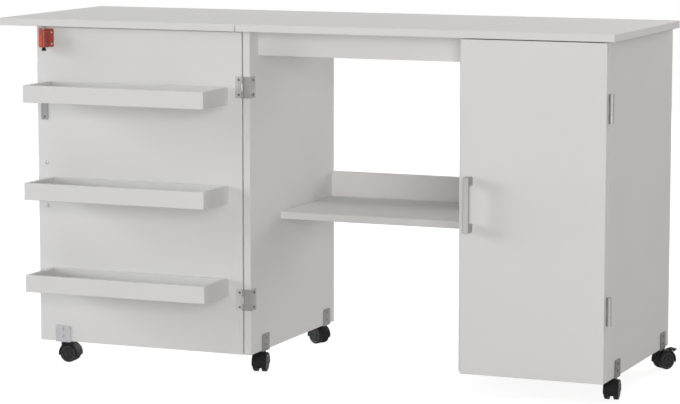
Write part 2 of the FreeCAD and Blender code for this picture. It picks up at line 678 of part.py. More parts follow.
TRAY_LEFT = f"({GATE_EDGE} + tray_inset)"
TRAY_RIGHT = "(-gate_gap - tray_inset)"
tray_boards = {"tray_fronts": [], "tray_backs": [], "tray_ends": [], "tray_floors": []}
for level in ("tray_high", "tray_middle", "tray_low"):
    rim = f"({FLOOR_GAP} + {level})"
    under = f"({rim} - tray_height)"
    tray_boards["tray_fronts"].append(
        board(f"{level}_front", TRAY_LEFT, TRAY_RIGHT, "-tray_depth", "tray_sheet - tray_depth", under, rim))
    tray_boards["tray_backs"].append(
        board(f"{level}_back", TRAY_LEFT, TRAY_RIGHT, "-tray_sheet", "0", under, rim))
    for side, x0, x1 in (("left", TRAY_LEFT, f"{TRAY_LEFT} + tray_sheet"),
                         ("right", f"{TRAY_RIGHT} - tray_sheet", TRAY_RIGHT)):
        tray_boards["tray_ends"].append(
            board(f"{level}_{side}_end", x0, x1, "tray_sheet - tray_depth", "-tray_sheet", under, rim))
    base = body(f"{level}_floor")
    pad(base, "XY_Plane",
        [rectangle(f"{TRAY_LEFT} + tray_sheet", f"{TRAY_RIGHT} - tray_sheet",
                   "tray_sheet - tray_depth", "-tray_sheet")],
        "tray_floor", offset=f"{under} + tray_floor_rise")
    tray_boards["tray_floors"].append(base)
for name, members in tray_boards.items():
    group(name, members)


# Casters. Each is drawn with the floor at z = 0, its swivel axis at x = 0 and its wheels
# trailing towards +X.

def around_wheel(radius, angle):
    """A point at a radius from the wheels' axis and an angle above the level, behind it."""
    return (f"(caster_trail + ({radius}) * cos(({angle}) * 1 deg))",
            f"(wheel_radius + ({radius}) * sin(({angle}) * 1 deg))")


AXLE_SPOT = ("caster_trail", "wheel_radius")
HOOD_SPAN = (170, 146, 122, 98, 74, 50, 30, 10)     # degrees above the level where the web meets the hood
LUG = around_wheel("brake_reach", "brake_angle")


def caster_hood(label, x, y, heading, braked):
    """A hood over two wheels, with a web between them that carries the axle and a stem."""
    part = keep(body(label, x, y, heading=heading))
    pad(part, "XZ_Plane", [circle(*AXLE_SPOT, HOOD_RADIUS)], CASTER_WIDTH, symmetric=True)
    dress("PartDesign::Chamfer", part, "hood_bevel", whole)
    pad(part, "XY_Plane", [circle("0", "0", "boss_radius")],
        "caster_height - swivel_gap - boss_rise", offset="boss_rise")
    past = f"(caster_trail + 2 * {HOOD_RADIUS})"
    under = f"(wheel_radius - 2 * {HOOD_RADIUS})"
    pocket(part, "XZ_Plane", [rectangle(f"-{past}", past, under, "hood_rise")], f"2 * {CASTER_WIDTH}",
           symmetric=True)
    pocket(part, "XZ_Plane", [circle(*AXLE_SPOT, "wheel_radius + wheel_gap")],
           f"2 * {CASTER_WIDTH}", symmetric=True)
    if braked:
        pocket(part, "XZ_Plane", [circle(*LUG, "brake_shoe + knuckle_gap")], "brake_width + 2 * pedal_window",
               symmetric=True)
    pad(part, "XZ_Plane", [circle(*AXLE_SPOT, "web_radius")], WEB_WIDTH, symmetric=True)
    pocket(part, "XZ_Plane", [rectangle(f"-{past}", past, under, "web_rise")], CASTER_WIDTH, symmetric=True)
    band = f"{HOOD_RADIUS} - hood_wall / 2"
    crown = [around_wheel(band, angle) for angle in HOOD_SPAN]
    pad(part, "XZ_Plane", [[*crown, AXLE_SPOT]], WEB_WIDTH, symmetric=True)
    if braked:
        arm = [around_wheel("brake_reach", f"brake_angle {side} lug_spread") for side in "+-"]
        pad(part, "XZ_Plane", [[*arm, AXLE_SPOT]], WEB_WIDTH, symmetric=True)
        pad(part, "XZ_Plane", [circle(*LUG, "brake_hub")], WEB_WIDTH, symmetric=True)
        pocket(part, "XZ_Plane", [circle(*LUG, "brake_pin + axle_play")], CASTER_WIDTH, symmetric=True)
    pad(part, "XY_Plane", [circle("0", "0", "stem_radius")],
        "swivel_gap + bracket_sheet + stem_length", offset="caster_height - swivel_gap")
    pocket(part, "XZ_Plane", [circle(*AXLE_SPOT, "axle_radius + axle_play")], CASTER_WIDTH, symmetric=True)
    return part


AXLE_HALF = f"({CASTER_WIDTH} / 2 - axle_cover)"


def caster_axle(label, x, y, heading):
    part = keep(body(label, x, y, heading=heading))
    pad(part, "XZ_Plane", [circle(*AXLE_SPOT, "axle_radius")], f"2 * {AXLE_HALF}", symmetric=True)


def caster_wheel(label, x, y, heading, side):
    """One wheel turned about its axle, with a domed outer face that covers the axle's end."""
    part = body(label, f"{x} + caster_trail * cos(({heading}) * 1 deg)",
                f"{y} + caster_trail * sin(({heading}) * 1 deg)", "wheel_radius", heading=heading)
    inner = "(wheel_space / 2)"
    outer = f"({CASTER_WIDTH} / 2)"
    bore = "(axle_radius + axle_play)"
    blind = f"({AXLE_HALF} + axle_play)"
    rim = f"({outer} - wheel_dome)"
    profile = [(bore, inner), ("wheel_radius", inner), ("wheel_radius", f"{rim} - wheel_bevel"),
               ("wheel_radius - wheel_bevel", rim), ("wheel_boss", outer), ("0", outer), ("0", blind),
               (bore, blind)]
    revolve(part, "XY_Plane", [[(radius, f"{side} * ({height})") for radius, height in profile]])
    return part


def caster_bracket(label, x, y, heading):
    """A steel channel over a board's bottom edge, with the stem's hole in its middle."""
    part = keep(body(label, x, y, "caster_height", heading=heading))
    half = "(board / 2)"
    wide = "(board / 2 + bracket_sheet)"
    top = "(bracket_sheet + bracket_height)"
    channel = [(f"-{wide}", "0"), (wide, "0"), (wide, top), (half, top), (half, "bracket_sheet"),
               (f"-{half}", "bracket_sheet"), (f"-{half}", top), (f"-{wide}", top)]
    pad(part, "XZ_Plane", [channel], "bracket_length", symmetric=True)
    high = value(top) - 0.01
    across = along(Vector(1, 0, 0))
    dress("PartDesign::Fillet", part, "bracket_round", lambda edge: across(edge) and edge.BoundBox.ZMin > high
          and abs(edge.BoundBox.Center.y) > 1)
    pocket(part, "XY_Plane", [circle("0", "0", "stem_radius + stem_play")], "2 * bracket_sheet",
           symmetric=True)
    return part


MIDDLE_LEFT = "board / 2"
MIDDLE_RIGHT = f"{RIGHT_PANEL} + board / 2"
CASTERS = {
    "left_front": (MIDDLE_LEFT, "caster_front", "0"),
    "left_back": (MIDDLE_LEFT, CASTER_BACK, "0"),
    "right_front": (MIDDLE_RIGHT, "caster_front", "0"),
    "right_back": (MIDDLE_RIGHT, CASTER_BACK, "0"),
    "gate": (GATE_CASTER, "board / 2", "90"),
}
for name, (x, y, across_board) in CASTERS.items():
    heading = f"{name}_heading"
    caster_bracket(f"{name}_bracket", x, y, across_board)
    caster_hood(f"{name}_caster_hood", x, y, heading, braked=name == "right_back")
    caster_axle(f"{name}_caster_axle", x, y, heading)
    group(f"{name}_caster_wheels",
          [caster_wheel(f"{name}_wheel_{side}", x, y, heading, sign) for side, sign in (("a", 1), ("b", -1))])

# Brake pedal: two ears round the lug, each with a shoe that turns onto its wheel.
brake_spot = CASTERS["right_back"][:2]
brake_pin = keep(body("brake_pin", *brake_spot, heading="right_back_heading"))
pad(brake_pin, "XZ_Plane", [circle(*LUG, "brake_pin")], "brake_width", symmetric=True)

brake_pedal = keep(body("brake_pedal", *brake_spot, heading="right_back_heading"))
SHOE_ANGLE = "(180 + brake_angle + brake_turn)"
INSIDE_HUB = "(0.95 * brake_hub)"
PEDAL_ROOT = 60       # degrees each side of the pedal's line at which it leaves its hub
PEDAL_TIP = 6
SHOE_ROOT = 60


def around_lug(radius, angle):
    return (f"({LUG[0]} + ({radius}) * cos(({angle}) * 1 deg))",
            f"({LUG[1]} + ({radius}) * sin(({angle}) * 1 deg))")


blade = [around_lug(INSIDE_HUB, f"pedal_slope + {PEDAL_ROOT}"),
         around_lug("pedal_length", f"pedal_slope + {PEDAL_TIP}"),
         around_lug("pedal_length", f"pedal_slope - {PEDAL_TIP}"),
         around_lug(INSIDE_HUB, f"pedal_slope - {PEDAL_ROOT}")]
shoe = [around_lug(INSIDE_HUB, f"{SHOE_ANGLE} - {SHOE_ROOT}"), around_lug("brake_shoe", SHOE_ANGLE),
        around_lug(INSIDE_HUB, f"{SHOE_ANGLE} + {SHOE_ROOT}"), LUG]
for outline_of in ([circle(*LUG, "brake_hub")], [blade], [shoe]):
    pad(brake_pedal, "XZ_Plane", outline_of, "brake_width", symmetric=True)
pocket(brake_pedal, "XZ_Plane", [circle(*LUG, "brake_shoe + knuckle_gap")], f"{WEB_WIDTH} + 2 * web_gap",
       symmetric=True)
pocket(brake_pedal, "XZ_Plane", [circle(*LUG, "brake_pin + axle_play")], "2 * brake_width", symmetric=True)


def stop(message):
    raise RuntimeError(message)


def owner(item):
    """The label of the piece that a feature belongs to."""
    parent = item.getParentGeoFeatureGroup()
    return parent.Label if parent else item.Label


def check_features():
    """Stop if a feature failed or a cut took nothing away."""
    for item in doc.Objects:
        if "Invalid" in item.State or "Error" in item.State:
            stop(f"{item.Label} of {owner(item)} is {item.State}")
    for cut in doc.findObjects("PartDesign::Pocket"):
        if cut.Shape.Volume > cut.BaseFeature.Shape.Volume - 1e-3:
            stop(f"{cut.Label} of {owner(cut)} cuts nothing")
    for piece in pieces:
        if piece.Shape.isNull() or not piece.Shape.isValid():
            stop(f"{piece.Label} has no valid shape")


def centre_footprint():
    """Move the table so that its origin lies under the middle of its outer box."""
    box = Part.makeCompound([piece.Shape for piece in pieces]).optimalBoundingBox(False, False)
    rows = list(SIZES)
    for name, middle in (("origin_x", box.Center.x), ("origin_y", box.Center.y)):
        sheet.set(f"B{rows.index(name) + 1}", str(value(name) + middle))
    doc.recompute()


doc.recompute()
centre_footprint()
check_features()
os.makedirs("parts", exist_ok=True)
for piece in pieces:
    piece.Shape.exportStep(f"parts/{piece.Label}.step")
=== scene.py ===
import json
import math

import bmesh
import bpy
from mathutils import Matrix, Vector


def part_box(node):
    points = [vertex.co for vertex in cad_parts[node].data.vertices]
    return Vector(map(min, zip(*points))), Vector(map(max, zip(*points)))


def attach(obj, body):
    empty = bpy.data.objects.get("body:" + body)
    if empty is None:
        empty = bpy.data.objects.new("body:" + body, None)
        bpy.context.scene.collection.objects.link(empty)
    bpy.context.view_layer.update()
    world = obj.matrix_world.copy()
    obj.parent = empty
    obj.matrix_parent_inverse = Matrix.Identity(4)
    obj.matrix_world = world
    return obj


# Folding sewing cutting table in white melamine board, seen from its right front.
# Everything is in metres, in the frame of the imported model: +X towards the cupboard,
# +Y to the back, +Z up, with the origin on the floor under the middle of the table.

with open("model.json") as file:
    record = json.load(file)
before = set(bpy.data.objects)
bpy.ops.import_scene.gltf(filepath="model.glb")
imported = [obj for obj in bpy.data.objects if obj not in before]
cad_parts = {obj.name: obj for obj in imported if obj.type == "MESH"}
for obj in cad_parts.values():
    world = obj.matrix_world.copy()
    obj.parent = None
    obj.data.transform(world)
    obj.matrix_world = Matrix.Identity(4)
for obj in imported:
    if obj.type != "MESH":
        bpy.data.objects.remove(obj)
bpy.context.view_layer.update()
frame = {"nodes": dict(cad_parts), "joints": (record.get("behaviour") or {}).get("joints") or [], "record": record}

MM = 0.001

# Camera, fitted to the table's corners
PHOTO_WIDTH = 680         # pixels
CAMERA_PLACE = (2.2821, -5.4494, 1.1369)
CAMERA_TURN = 22.51       # degrees to the left of straight ahead
CAMERA_DROP = 7.44        # degrees below the level
CAMERA_FOCUS = 2725.3     # focal length in pixels of the photograph
SENSOR_WIDTH = 36         # millimetres
CAMERA_REACH = 200        # how far the camera sees

# Colours as linear values
LAMINATE = (0.76, 0.758, 0.752)
HARDBOARD = (0.69, 0.685, 0.672)
NICKEL = (0.33, 0.328, 0.324)
# a lighter copy of the nickel plate for the door's hinges: painted light that lifts them out of their shade
LIT_DOOR_NICKEL = (0.41, 0.408, 0.402)
# a still lighter copy for the gate hinge's moving leaves: a painted highlight, as if the light fell on them
HIGHLIT_NICKEL = (0.53, 0.527, 0.522)
# screw steel darkened to paint the shade in and round the screw heads
SHADED_SCREW_STEEL = (0.16, 0.155, 0.15)
BRACKET_GREY = (0.235, 0.235, 0.237)
# a lighter copy of the bracket paint for the gate's bracket: painted light
LIT_GATE_BRACKET_GREY = (0.50, 0.50, 0.515)
# a darker copy of the bracket paint for the two right brackets: painted shade
SHADED_RIGHT_BRACKET_GREY = (0.145, 0.143, 0.141)
HANDLE_STEEL = (0.43, 0.428, 0.422)
PIN_STEEL = (0.50, 0.50, 0.50)
LATCH_RED = (0.40, 0.068, 0.052)
# the thumb piece's red, lighter than the latch's: partly its own brighter red, partly a painted highlight where it
# catches the light
THUMB_RED_AND_HIGHLIGHT = (0.60, 0.085, 0.05)
BLACK_NYLON = (0.016, 0.016, 0.0165)
WHEEL_BLACK = (0.026, 0.026, 0.0265)
CATCH_GREY = (0.55, 0.55, 0.54)
FLOOR_WHITE = (0.62, 0.615, 0.61)


# Materials

NOISE_LOW, NOISE_HIGH = 0.35, 0.65      # where nearly all of a noise lies
EVENLY = (1, 1, 1)            # stretches of a noise: without grain
ALONG_Z = (1, 1, 0.04)        # and with its grain upright
SHEET_ROUGH = (0.36, 0.48)    # low and high roughness
NYLON_ROUGH = (0.58, 0.70)
RED_ROUGH = (0.22, 0.34)
SHEET_METAL = 0.45            # how metallic the plated sheet is
PAINT_METAL = 0.4
NYLON_GLOSS = 0.12            # specular level


class Surface:
    """A Principled material whose colour, roughness and relief come from nodes."""

    def __init__(self, name):
        self.material = bpy.data.materials.new(name)
        self.material.use_nodes = True
        self.tree = self.material.node_tree
        self.shader = self.tree.nodes["Principled BSDF"]
        self.place = self.add("ShaderNodeTexCoord").outputs["Object"]
        self.height = None

    def add(self, kind, **settings):
        node = self.tree.nodes.new(kind)
        for name, setting in settings.items():
            setattr(node, name, setting)
        return node

    def join(self, source, target):
        self.tree.links.new(source, target)

    def stretched(self, scale):
        mapping = self.add("ShaderNodeMapping")
        mapping.inputs["Scale"].default_value = scale
        self.join(self.place, mapping.inputs["Vector"])
        return mapping.outputs["Vector"]

    def noise(self, scale, detail=2.0, stretch=(1, 1, 1)):
        node = self.add("ShaderNodeTexNoise")
        node.inputs["Scale"].default_value = scale
        node.inputs["Detail"].default_value = detail
        self.join(self.stretched(stretch), node.inputs["Vector"])
        return node.outputs["Fac"]

    def spread(self, source, low, high):
        """Stretch a noise between two values."""
        node = self.add("ShaderNodeMapRange")
        node.inputs["From Min"].default_value = NOISE_LOW
        node.inputs["From Max"].default_value = NOISE_HIGH
        node.inputs["To Min"].default_value = low
        node.inputs["To Max"].default_value = high
        self.join(source, node.inputs["Value"])
        return node.outputs["Result"]

    def tint(self, source, dark, light):
        """Colour the surface between two tones by a noise."""
        ramp = self.add("ShaderNodeValToRGB")
        ramp.color_ramp.elements[0].position = NOISE_LOW
        ramp.color_ramp.elements[0].color = (*dark, 1)
        ramp.color_ramp.elements[1].position = NOISE_HIGH
        ramp.color_ramp.elements[1].color = (*light, 1)
        self.join(source, ramp.inputs["Fac"])
        self.join(ramp.outputs["Color"], self.shader.inputs["Base Color"])

    def rough(self, source, low, high):
        self.join(self.spread(source, low, high), self.shader.inputs["Roughness"])

    def relief(self, source, depth, strength=1.0):
        """Add a bump of a depth in metres on top of those before it."""
        bump = self.add("ShaderNodeBump")
        bump.inputs["Distance"].default_value = depth
        bump.inputs["Strength"].default_value = strength
        self.join(source, bump.inputs["Height"])
        if self.height is not None:
            self.join(self.height, bump.inputs["Normal"])
        self.height = bump.outputs["Normal"]
        self.join(self.height, self.shader.inputs["Normal"])

    def set(self, **values):
        """Set plain values on the shader's sockets, and give the finished material."""
        for name, setting in values.items():
            self.shader.inputs[name.replace("_", " ")].default_value = setting
        return self.material


def shade(colour, factor):
    return tuple(channel * factor for channel in colour)


def melamine(name, colour):
    """Satin melamine facing: faint mottling and the fine pebble of its press plate."""
    surface = Surface(name)
    surface.tint(surface.noise(7, 3), shade(colour, 0.99), shade(colour, 1.005))
    surface.rough(surface.noise(60, 3), 0.60, 0.68)
    surface.relief(surface.noise(1400, 2), 0.00003, 0.35)
    surface.relief(surface.noise(18, 1), 0.0002, 0.05)
    return surface.set(IOR=1.28)


def hardboard(name, colour):
    surface = Surface(name)
    surface.tint(surface.noise(90, 4), shade(colour, 0.975), shade(colour, 1.01))
    surface.rough(surface.noise(90, 2), 0.55, 0.7)
    surface.relief(surface.noise(900, 3), 0.00006, 0.5)
    return surface.set(IOR=1.45)


def plated(name, colour, roughness, grain, metal=1.0):
    """Nickel or zinc plate over pressed steel, its faint grain running one way."""
    surface = Surface(name)
    surface.tint(surface.noise(120, 3, grain), shade(colour, 0.86), shade(colour, 1.06))
    surface.rough(surface.noise(260, 3, grain), *roughness)
    surface.relief(surface.noise(2200, 2, grain), 0.00002, 0.5)
    return surface.set(Metallic=metal)


def silver_paint(name, colour):
    """Grey metallic paint, which scatters most of the light it reflects."""
    surface = Surface(name)
    surface.tint(surface.noise(80, 3), shade(colour, 0.92), shade(colour, 1.05))
    surface.rough(surface.noise(150, 2), 0.50, 0.60)
    surface.relief(surface.noise(2600, 2), 0.00004, 0.5)
    return surface.set(Metallic=PAINT_METAL)


def moulded(name, colour, roughness, pebble, gloss=0.5):
    """Moulded plastic with a fine spark-eroded texture, pebble metres deep."""
    surface = Surface(name)
    surface.tint(surface.noise(110, 3), shade(colour, 0.93), shade(colour, 1.06))
    surface.rough(surface.noise(200, 2), *roughness)
    surface.relief(surface.noise(2400, 2), pebble, 0.4)
    return surface.set(Specular_IOR_Level=gloss)


FINISHES = {
    "laminate": melamine("white_melamine", LAMINATE),
    "thin_board": hardboard("white_hardboard", HARDBOARD),
    "zinc_steel": plated("nickel_plate", NICKEL, SHEET_ROUGH, ALONG_Z, SHEET_METAL),
    # the door's hinges: a lighter copy of the nickel plate, with painted light
    "lit_door_zinc_steel": plated("lit_door_nickel_plate", LIT_DOOR_NICKEL, SHEET_ROUGH, ALONG_Z,
                              SHEET_METAL),
    # the gate hinge's moving leaves: a lighter copy of the nickel plate, with a painted highlight
    "highlit_zinc_steel": plated("highlit_nickel_plate", HIGHLIT_NICKEL, SHEET_ROUGH, ALONG_Z,
                              SHEET_METAL),
    "hinge_pin_steel": plated("drawn_steel", PIN_STEEL, (0.22, 0.34), ALONG_Z),
    "handle_metal": plated("brushed_nickel", HANDLE_STEEL, (0.28, 0.40), ALONG_Z),
    # screw heads: steel darkened with painted shade
    "screw_steel": plated("shaded_screw_steel", SHADED_SCREW_STEEL, (0.35, 0.50), EVENLY),
    "bracket_paint": silver_paint("silver_grey_paint", BRACKET_GREY),
    # the gate's bracket: a lighter copy of the bracket paint, with painted light
    "lit_gate_bracket_paint": silver_paint("lit_silver_paint", LIT_GATE_BRACKET_GREY),
    # the right brackets: a darker copy of the bracket paint, with painted shade
    "shaded_right_bracket_paint": silver_paint("shaded_silver_paint", SHADED_RIGHT_BRACKET_GREY),
    "catch_plastic": moulded("catch_plastic", CATCH_GREY, (0.42, 0.55), 0.00003),
    "red_plastic": moulded("dark_red_plastic", LATCH_RED, RED_ROUGH, 0.00002),
    # the thumb piece: a lighter red that is partly a painted highlight
    "thumb_plastic": moulded("highlit_thumb_red_plastic", THUMB_RED_AND_HIGHLIGHT, RED_ROUGH, 0.00002),
    "black_plastic": moulded("black_nylon", BLACK_NYLON, NYLON_ROUGH, 0.00003, NYLON_GLOSS),
    "wheel_plastic": moulded("wheel_nylon", WHEEL_BLACK, NYLON_ROUGH, 0.00002, NYLON_GLOSS),
    "wheel_trim": moulded("polished_nylon", WHEEL_BLACK, (0.24, 0.34), 0.00001),
}
# Nodes whose look differs from their slot's. Apart from the latch bolt's duller plate, these are lighter copies of
# a finish that carry painted light and highlights, and darker copies that carry painted shade
NODE_FINISHES = {
    "gate_bracket": "lit_gate_bracket_paint",
    "latch_bolt": "zinc_steel",
    "right_front_bracket": "shaded_right_bracket_paint",
    "right_back_bracket": "shaded_right_bracket_paint",
    "gate_hinge_leaves": "highlit_zinc_steel",
    "door_hinge_leaves": "lit_door_zinc_steel",
    "door_hinge_frame_leaves": "lit_door_zinc_steel",
}


def finish_nodes():
    """Give every CAD node its own finish, or else the one of its slot."""
    for part in frame["record"]["subparts"]:
        node = frame["nodes"][part["node"]]
        node.data.materials.clear()
        finish = NODE_FINISHES.get(part["node"], part["material_slot"])
        node.data.materials.append(FINISHES[finish])


# Pieces

def on_circle(radius, step, steps):
    angle = 2 * math.pi * step / steps
    return radius * math.cos(angle), radius * math.sin(angle)


def upright_to(outward):
    """The turn that takes +Z to a direction."""
    return Vector((0, 0, 1)).rotation_difference(Vector(outward)).to_matrix().to_4x4()


def add_moved(mesh, shape, move):
    """Add a moved copy of a shape to a mesh."""
    start = len(mesh.verts)
    mesh.from_mesh(shape)
    mesh.verts.ensure_lookup_table()
    bmesh.ops.transform(mesh, matrix=move, verts=mesh.verts[start:])


def add_piece(name, mesh, body, finish):
    """Make a mesh into a piece of the table that rides a body."""
    made = bpy.data.meshes.new(name)
    mesh.to_mesh(made)
    mesh.free()
    made.materials.append(FINISHES[finish])
    piece = bpy.data.objects.new(name, made)
    bpy.context.scene.collection.objects.link(piece)
    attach(piece, body)


def face_of(node, axis, side):
    """The coordinate of a node's box on the low (0) or high (1) side of an axis."""
    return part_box(node)[side][axis]


def middle_of(node, axis):
    low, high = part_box(node)
    return (low[axis] + high[axis]) / 2


# Screws

SCREW_STEPS = 28
# Shares of a head's radius and height, from its seat to its flat crown
SCREW_CROWN = ((1.0, 0.0), (1.0, 0.35), (0.93, 0.62), (0.78, 0.82), (0.52, 0.95))
# Shares of a head's radius and height, for the cross recess
CROSS_REACH, CROSS_HALF = 0.52, 0.12
CROSS_TOP, CROSS_FOOT = 1.2, 0.35
CROSS_TAPER = (0.6, 0.8)      # of its reach and of its width, at the foot


def screw_mesh(name, radius, height):
    """A head with a cross recess, its seat at z = 0 and its top towards +Z."""
    mesh = bmesh.new()
    rings = [[mesh.verts.new((*on_circle(share * radius, step, SCREW_STEPS), rise * height))
              for step in range(SCREW_STEPS)] for share, rise in SCREW_CROWN]
    for lower, upper in zip(rings, rings[1:]):
        for step in range(SCREW_STEPS):
            following = (step + 1) % SCREW_STEPS
            mesh.faces.new((lower[step], lower[following], upper[following], upper[step]))
    mesh.faces.new(rings[-1])
    mesh.faces.new(list(reversed(rings[0])))
    head = bpy.data.meshes.new(name)
    mesh.to_mesh(head)
    mesh.free()
    body = bpy.data.objects.new(name, head)
    cutter = bpy.data.objects.new(name + "_cross", cross_mesh(radius, height))
    for item in (body, cutter):
        bpy.context.scene.collection.objects.link(item)
    cut = body.modifiers.new("cross", "BOOLEAN")
    cut.operation = "DIFFERENCE"
    cut.object = cutter
    cut.solver = "EXACT"
    cut.use_self = True
    depsgraph = bpy.context.evaluated_depsgraph_get()
    done = bpy.data.meshes.new_from_object(body.evaluated_get(depsgraph))
    for item in (body, cutter):
        bpy.data.objects.remove(item)
    done.materials.clear()
    return done


def cross_mesh(radius, height):
    """Two crossed bars that taper downwards, to cut the recess with."""
    mesh = bmesh.new()
    for turn in (0, 90):
        bar = bmesh.ops.create_cube(mesh, size=1)["verts"]
        for vert in bar:
            top = vert.co.z > 0
            vert.co.x *= 2 * CROSS_REACH * radius * (1 if top else CROSS_TAPER[0])
            vert.co.y *= 2 * CROSS_HALF * radius * (1 if top else CROSS_TAPER[1])
            vert.co.z = (CROSS_TOP if top else CROSS_FOOT) * height
        bmesh.ops.rotate(mesh, verts=bar, cent=(0, 0, 0),
                         matrix=Matrix.Rotation(math.radians(turn), 3, "Z"))
    made = bpy.data.meshes.new("cross")
    mesh.to_mesh(made)
    mesh.free()
    return made


SCREW_HEADS = {
    "flush": screw_mesh("screw_flush", 2.8 * MM, 0.3 * MM),
    "small": screw_mesh("screw_small", 2.6 * MM, 1.3 * MM),
    "medium": screw_mesh("screw_medium", 3.3 * MM, 1.7 * MM),
    "large": screw_mesh("screw_large", 4.2 * MM, 2.2 * MM),
}
FIRST_TURN, NEXT_TURN = 37, 67      # degrees, so that no two recesses line up


def screws(name, body, head, outward, places, finish="screw_steel"):
    """Screw heads seated at places on a face, joined into one piece that rides a body."""
    mesh = bmesh.new()
    upright = upright_to(outward)
    for number, spot in enumerate(places):
        turn = Matrix.Rotation(math.radians(FIRST_TURN + NEXT_TURN * number), 4, "Z")
        move = Matrix.Translation(Vector(spot)) @ upright @ turn
        add_moved(mesh, SCREW_HEADS[head], move)
    add_piece(name, mesh, body, finish)


HINGE_SHEET = 1.2 * MM
HINGES = {
    # kind: half the hinge's height, and its screws above and below the middle
    "gate": (23 * MM, 16 * MM),
    "door": (30 * MM, 21 * MM),
}
GATE_SCREW_INSET = 1.2 * MM           # from the middle of the gate's leaves to the left
GATE_FRAME_SCREW_INSET = 11 * MM      # from the back edge of the frame's leaves
DOOR_SCREW_INSET = 6.5 * MM           # from the free edge of the door's leaves
LEAF_HINGE_HALF = 30 * MM
LEAF_SCREW_SPREAD = 18 * MM           # each side of a hinge's middle
LEAF_FRAME_SCREW_RISE = 14 * MM       # from the foot of the frame's leaves
LEAF_SCREW_INSET = 9 * MM             # from the free edge of the leaf's leaves


def hinge_levels(kind):
    """Heights of the screws on the upper and the lower hinge of a kind."""
    half, offset = HINGES[kind]
    low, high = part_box(f"{kind}_hinge_pins")
    return [middle + side * offset
            for middle in (low.z + half, high.z - half) for side in (-1, 1)]


def hinge_screws():
    front = face_of("left_side_panel", 1, 0) - HINGE_SHEET
    moving = middle_of("gate_hinge_leaves", 0) - GATE_SCREW_INSET
    screws("gate_hinge_screws", "gate", "flush", (0, -1, 0),
           [(moving, front, z) for z in hinge_levels("gate")])
    inner = face_of("gate_hinge_frame_leaves", 0, 1)
    depth = face_of("gate_hinge_frame_leaves", 1, 1) - GATE_FRAME_SCREW_INSET
    screws("gate_hinge_frame_screws", "carcass", "medium", (1, 0, 0),
           [(inner, depth, z) for z in hinge_levels("gate")])
    across = face_of("door_hinge_leaves", 0, 0) + DOOR_SCREW_INSET
    screws("door_hinge_frame_screws", "carcass", "flush", (0, -1, 0),
           [(across, front, z) for z in hinge_levels("door")])
    behind = face_of("door_panel", 1, 1) + HINGE_SHEET
    screws("door_hinge_screws", "door", "flush", (0, 1, 0),
           [(across, behind, z) for z in hinge_levels("door")])


def leaf_hinge_screws():
    low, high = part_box("leaf_hinge_frame_leaves")
    middles = (low.y + LEAF_HINGE_HALF, (low.y + high.y) / 2, high.y - LEAF_HINGE_HALF)
    lines = [middle + side for middle in middles
             for side in (-LEAF_SCREW_SPREAD, LEAF_SCREW_SPREAD)]
    left = face_of("left_side_panel", 0, 0) - HINGE_SHEET
    screws("leaf_hinge_frame_screws", "carcass", "flush", (-1, 0, 0),
           [(left, y, low.z + LEAF_FRAME_SCREW_RISE) for y in lines])
    across = face_of("leaf_hinge_leaves", 0, 0) + LEAF_SCREW_INSET
    under = face_of("leaf_top", 2, 0) - HINGE_SHEET
    screws("leaf_hinge_screws", "leaf", "flush", (0, 0, -1),
           [(across, y, under) for y in lines])


BRACKETS = ("left_front", "left_back", "right_front", "right_back", "gate")
BRACKET_SCREW_RISES = (14 * MM, 30 * MM)      # from the bracket's foot


def bracket_screws():
    """Two screws through each cheek of each bracket, painted as the bracket is, so that they share the painted
    light of the gate's bracket and the painted shade of the right ones.
    """
    for name in BRACKETS:
        node = f"{name}_bracket"
        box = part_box(node)
        body = "gate" if name == "gate" else "carcass"
        axis = 1 if name == "gate" else 0
        for side, sign in ((0, -1), (1, 1)):
            outward = [0, 0, 0]
            outward[axis] = sign
            spots = []
            for rise in BRACKET_SCREW_RISES:
                spot = [middle_of(node, i) for i in range(3)]
                spot[axis] = box[side][axis]
                spot[2] = box[0].z + rise
                spots.append(spot)
            screws(f"{node}_screws_{'ab'[side]}", body, "medium", outward, spots,
                   NODE_FINISHES.get(node, "bracket_paint"))


HANDLE_SCREW_SPREAD = 48 * MM     # each side of the handle's middle


def handle_screws():
    """The screws that come through the gate and the door into their handles."""
    for name, sign, side in (("gate", -1, 0), ("door", 1, 1)):
        x, z = middle_of(f"{name}_handle", 0), middle_of(f"{name}_handle", 2)
        y = face_of(f"{name}_panel", 1, side)
        screws(f"{name}_handle_screws", name, "large", (0, sign, 0),
               [(x, y, z - HANDLE_SCREW_SPREAD), (x, y, z + HANDLE_SCREW_SPREAD)],
               "hinge_pin_steel")


LATCH_FLANGE = 2.5 * MM           # thickness
LATCH_SCREW_INSET = 4.8 * MM      # from the flange's side edges
LATCH_SCREW_RISE = 7 * MM
LATCH_SCREW_DROP = 8 * MM


def latch_screws():
    low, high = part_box("latch_housing")
    flange = face_of("gate_panel", 1, 0) - LATCH_FLANGE
    screws("latch_screws", "gate", "small", (0, -1, 0),
           [(x, flange, z) for x in (low.x + LATCH_SCREW_INSET, high.x - LATCH_SCREW_INSET)
            for z in (low.z + LATCH_SCREW_RISE, high.z - LATCH_SCREW_DROP)],
           "hinge_pin_steel")


STRIKE_SCREW_SPREAD = 17 * MM     # above and below the plate's middle
CATCH_SCREW_SPREAD = 15 * MM
CATCH_SCREW_SETBACK = 1.5 * MM    # behind the catch's middle


def catch_screws():
    for name, outward, body, side in (("gate_strike_plate", (0, -1, 0), "gate", 0),
                                      ("door_strike_plate", (0, 1, 0), "door", 1)):
        x, z = middle_of(name, 0), middle_of(name, 2)
        y = face_of(name, 1, side)
        screws(f"{name}_screws", body, "flush", outward,
               [(x, y, z - STRIKE_SCREW_SPREAD), (x, y, z + STRIKE_SCREW_SPREAD)])
    x = face_of("door_catch", 0, 1)
    y, z = middle_of("door_catch", 1) + CATCH_SCREW_SETBACK, middle_of("door_catch", 2)
    screws("door_catch_screws", "carcass", "small", (1, 0, 0),
           [(x, y, z - CATCH_SCREW_SPREAD), (x, y, z + CATCH_SCREW_SPREAD)])


